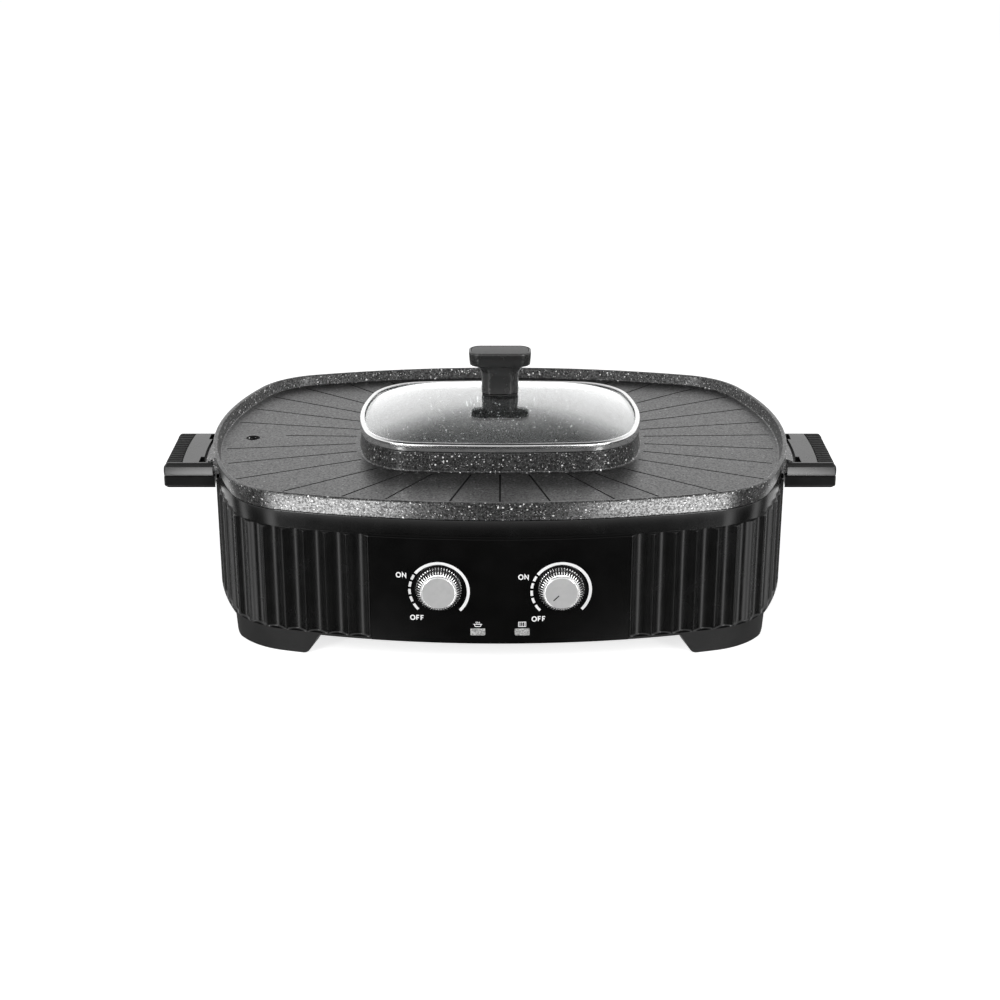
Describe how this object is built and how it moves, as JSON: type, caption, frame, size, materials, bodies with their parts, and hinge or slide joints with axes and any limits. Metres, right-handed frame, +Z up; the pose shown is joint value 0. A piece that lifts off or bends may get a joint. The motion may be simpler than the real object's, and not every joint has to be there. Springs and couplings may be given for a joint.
{
  "type": "hot pot grill combo",
  "caption": "Tabletop electric cooker: fluted base with front knobs and lamps, lift-off grill pan around a central pot, side handles and a domed glass lid.",
  "frame": {"origin": "centre of the overall box in plan, on the plane under the foot pads", "axes": "+Z up, +X along the length towards the right-hand handle seen from the front, -Y towards the knobs"},
  "size_m": [0.536, 0.3504, 0.1958],
  "materials": {
    "black_gloss_plastic": "polished black moulding",
    "black_satin_plastic": "satin black moulding",
    "black_rubber": "matt black",
    "speckled_coating": "black non-stick coating with white flecks over cast aluminium",
    "silver_knurled_metal": "bright knurled metal",
    "satin_grey_metal": "satin grey",
    "stainless_steel": "polished stainless steel",
    "zinc_plated_steel": "zinc plated",
    "heater_tube_steel": "heat-darkened steel",
    "tempered_glass": "clear tempered glass",
    "lamp_lens_plastic": "frosted clear plastic",
    "circuit_board": "green solder mask",
    "switch_ceramic": "off-white moulded body"
  },
  "bodies": {
    "base": {"housing": "black_gloss_plastic", "control_panel": "black_gloss_plastic", "bottom_cover": "black_satin_plastic", "foot_pad_front_left": "black_rubber", "foot_pad_front_right": "black_rubber", "foot_pad_back_left": "black_rubber", "foot_pad_back_right": "black_rubber", "base_screw_front_left": "zinc_plated_steel", "base_screw_front_right": "zinc_plated_steel", "base_screw_back_left": "zinc_plated_steel", "base_screw_back_right": "zinc_plated_steel", "heat_shield": "zinc_plated_steel", "pot_heater": "heater_tube_steel", "pot_heater_clip_left": "zinc_plated_steel", "pot_heater_clip_right": "zinc_plated_steel", "grill_heater": "heater_tube_steel", "grill_heater_clip_left": "zinc_plated_steel", "grill_heater_clip_right": "zinc_plated_steel", "grill_heater_clip_back": "zinc_plated_steel", "grease_cup": "zinc_plated_steel", "control_bracket": "zinc_plated_steel", "thermostat_left": "switch_ceramic", "thermostat_right": "switch_ceramic", "indicator_board": "circuit_board", "lamp_lens_left": "lamp_lens_plastic", "lamp_lens_right": "lamp_lens_plastic", "terminal_block": "switch_ceramic", "power_inlet": "black_satin_plastic"},
    "knob_left": {"knob_left_skirt": "silver_knurled_metal", "knob_left_cap": "satin_grey_metal", "knob_left_shaft": "zinc_plated_steel"},
    "knob_right": {"knob_right_skirt": "silver_knurled_metal", "knob_right_cap": "satin_grey_metal", "knob_right_shaft": "zinc_plated_steel"},
    "pan": {"pan": "speckled_coating", "handle_left_cover": "black_gloss_plastic", "handle_left_base": "black_gloss_plastic", "handle_left_grip": "black_rubber", "handle_screw_left_front": "zinc_plated_steel", "handle_screw_left_back": "zinc_plated_steel", "handle_right_cover": "black_gloss_plastic", "handle_right_base": "black_gloss_plastic", "handle_right_grip": "black_rubber", "handle_screw_right_front": "zinc_plated_steel", "handle_screw_right_back": "zinc_plated_steel"},
    "lid": {"lid_band": "stainless_steel", "lid_glass": "tempered_glass", "lid_knob": "black_satin_plastic", "lid_knob_inlay": "black_satin_plastic", "lid_knob_washer": "black_rubber", "lid_screw": "stainless_steel", "lid_screw_washer": "stainless_steel"}
  },
  "joints": [
    {"name": "knob_left_turn", "type": "hinge", "parent": "base", "child": "knob_left", "pos_m": [-0.0452, -0.16524, 0.06265], "axis": [0, 1, 0], "range_deg": [0, 270]},
    {"name": "knob_right_turn", "type": "hinge", "parent": "base", "child": "knob_right", "pos_m": [0.0452, -0.16524, 0.06265], "axis": [0, 1, 0], "range_deg": [0, 270]},
    {"name": "pan_lift", "type": "slide", "parent": "base", "child": "pan", "axis": [0, 0, 1], "range_m": [0, 0.15]},
    {"name": "lid_lift", "type": "slide", "parent": "pan", "child": "lid", "axis": [0, 0, 1], "range_m": [0, 0.12]}
  ]
}
